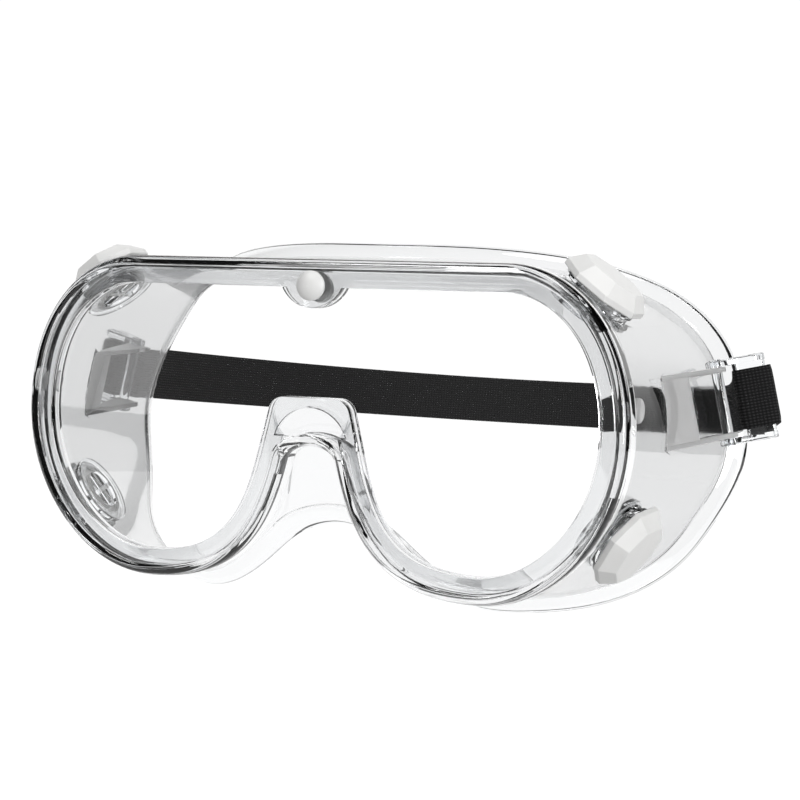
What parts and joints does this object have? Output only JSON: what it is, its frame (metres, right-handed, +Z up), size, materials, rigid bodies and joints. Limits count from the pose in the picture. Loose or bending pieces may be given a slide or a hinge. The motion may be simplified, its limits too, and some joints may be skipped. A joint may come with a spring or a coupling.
{
  "type": "safety goggles",
  "caption": "Clear wrap-around safety goggles with a flat clear lens, soft clear frame and face seal, white capped vents at the corners and a black elastic head strap on swivel buckles.",
  "frame": {"origin": "on the front face of the lens, on the left-right mirror plane, level with the widest part of the sight opening", "axes": "+X to the right of someone looking at the front, -Y out of the front of the lens, +Z up"},
  "size_m": [0.2022, 0.2077, 0.0914],
  "materials": {
    "clear_soft_vinyl": "clear soft moulded vinyl, glossy",
    "clear_lens": "clear polished polycarbonate",
    "clear_hard_plastic": "clear moulded plastic",
    "white_plastic": "white moulded plastic, satin",
    "black_elastic": "woven elastic webbing"
  },
  "bodies": {
    "frame": {"frame_rim": "clear_soft_vinyl", "frame_skirt": "clear_soft_vinyl", "face_seal": "clear_soft_vinyl", "lens": "clear_lens", "stud_washer": "white_plastic", "strap_band": "black_elastic", "strap_bracket_left": "clear_soft_vinyl", "pivot_pin_left": "clear_hard_plastic", "vent_ring_upper_left": "clear_hard_plastic", "vent_ring_lower_left": "clear_hard_plastic", "strap_bracket_right": "clear_soft_vinyl", "pivot_pin_right": "clear_hard_plastic", "vent_ring_upper_right": "clear_hard_plastic", "vent_ring_lower_right": "clear_hard_plastic"},
    "buckle_left": {"buckle_left": "clear_hard_plastic", "strap_turn_left": "black_elastic"},
    "buckle_right": {"buckle_right": "clear_hard_plastic", "strap_turn_right": "black_elastic"},
    "stud": {"lens_lock_stud": "white_plastic"},
    "cap_upper_left": {"vent_cap_upper_left": "white_plastic"},
    "cap_upper_right": {"vent_cap_upper_right": "white_plastic"},
    "cap_lower_left": {"vent_cap_lower_left": "white_plastic"},
    "cap_lower_right": {"vent_cap_lower_right": "white_plastic"}
  },
  "joints": [
    {"name": "buckle_left_swivel", "type": "hinge", "parent": "frame", "child": "buckle_left", "pos_m": [-0.0869, 0.0575, 0.006], "axis": [-0.225, 0, -0.9744], "range_deg": [-70, 45]},
    {"name": "buckle_right_swivel", "type": "hinge", "parent": "frame", "child": "buckle_right", "pos_m": [0.0869, 0.0575, 0.006], "axis": [-0.225, 0, 0.9744], "range_deg": [-70, 45]},
    {"name": "lens_stud_pull", "type": "slide", "parent": "frame", "child": "stud", "axis": [0, -1, 0], "range_m": [0, 0.009]},
    {"name": "cap_upper_left_pull", "type": "slide", "parent": "frame", "child": "cap_upper_left", "axis": [-0.613, 0.0065, 0.7901], "range_m": [0, 0.006]},
    {"name": "cap_upper_right_pull", "type": "slide", "parent": "frame", "child": "cap_upper_right", "axis": [0.613, 0.0065, 0.7901], "range_m": [0, 0.006]},
    {"name": "cap_lower_left_pull", "type": "slide", "parent": "frame", "child": "cap_lower_left", "axis": [-0.8201, -0.1292, -0.5574], "range_m": [0, 0.006]},
    {"name": "cap_lower_right_pull", "type": "slide", "parent": "frame", "child": "cap_lower_right", "axis": [0.8201, -0.1292, -0.5574], "range_m": [0, 0.006]}
  ]
}
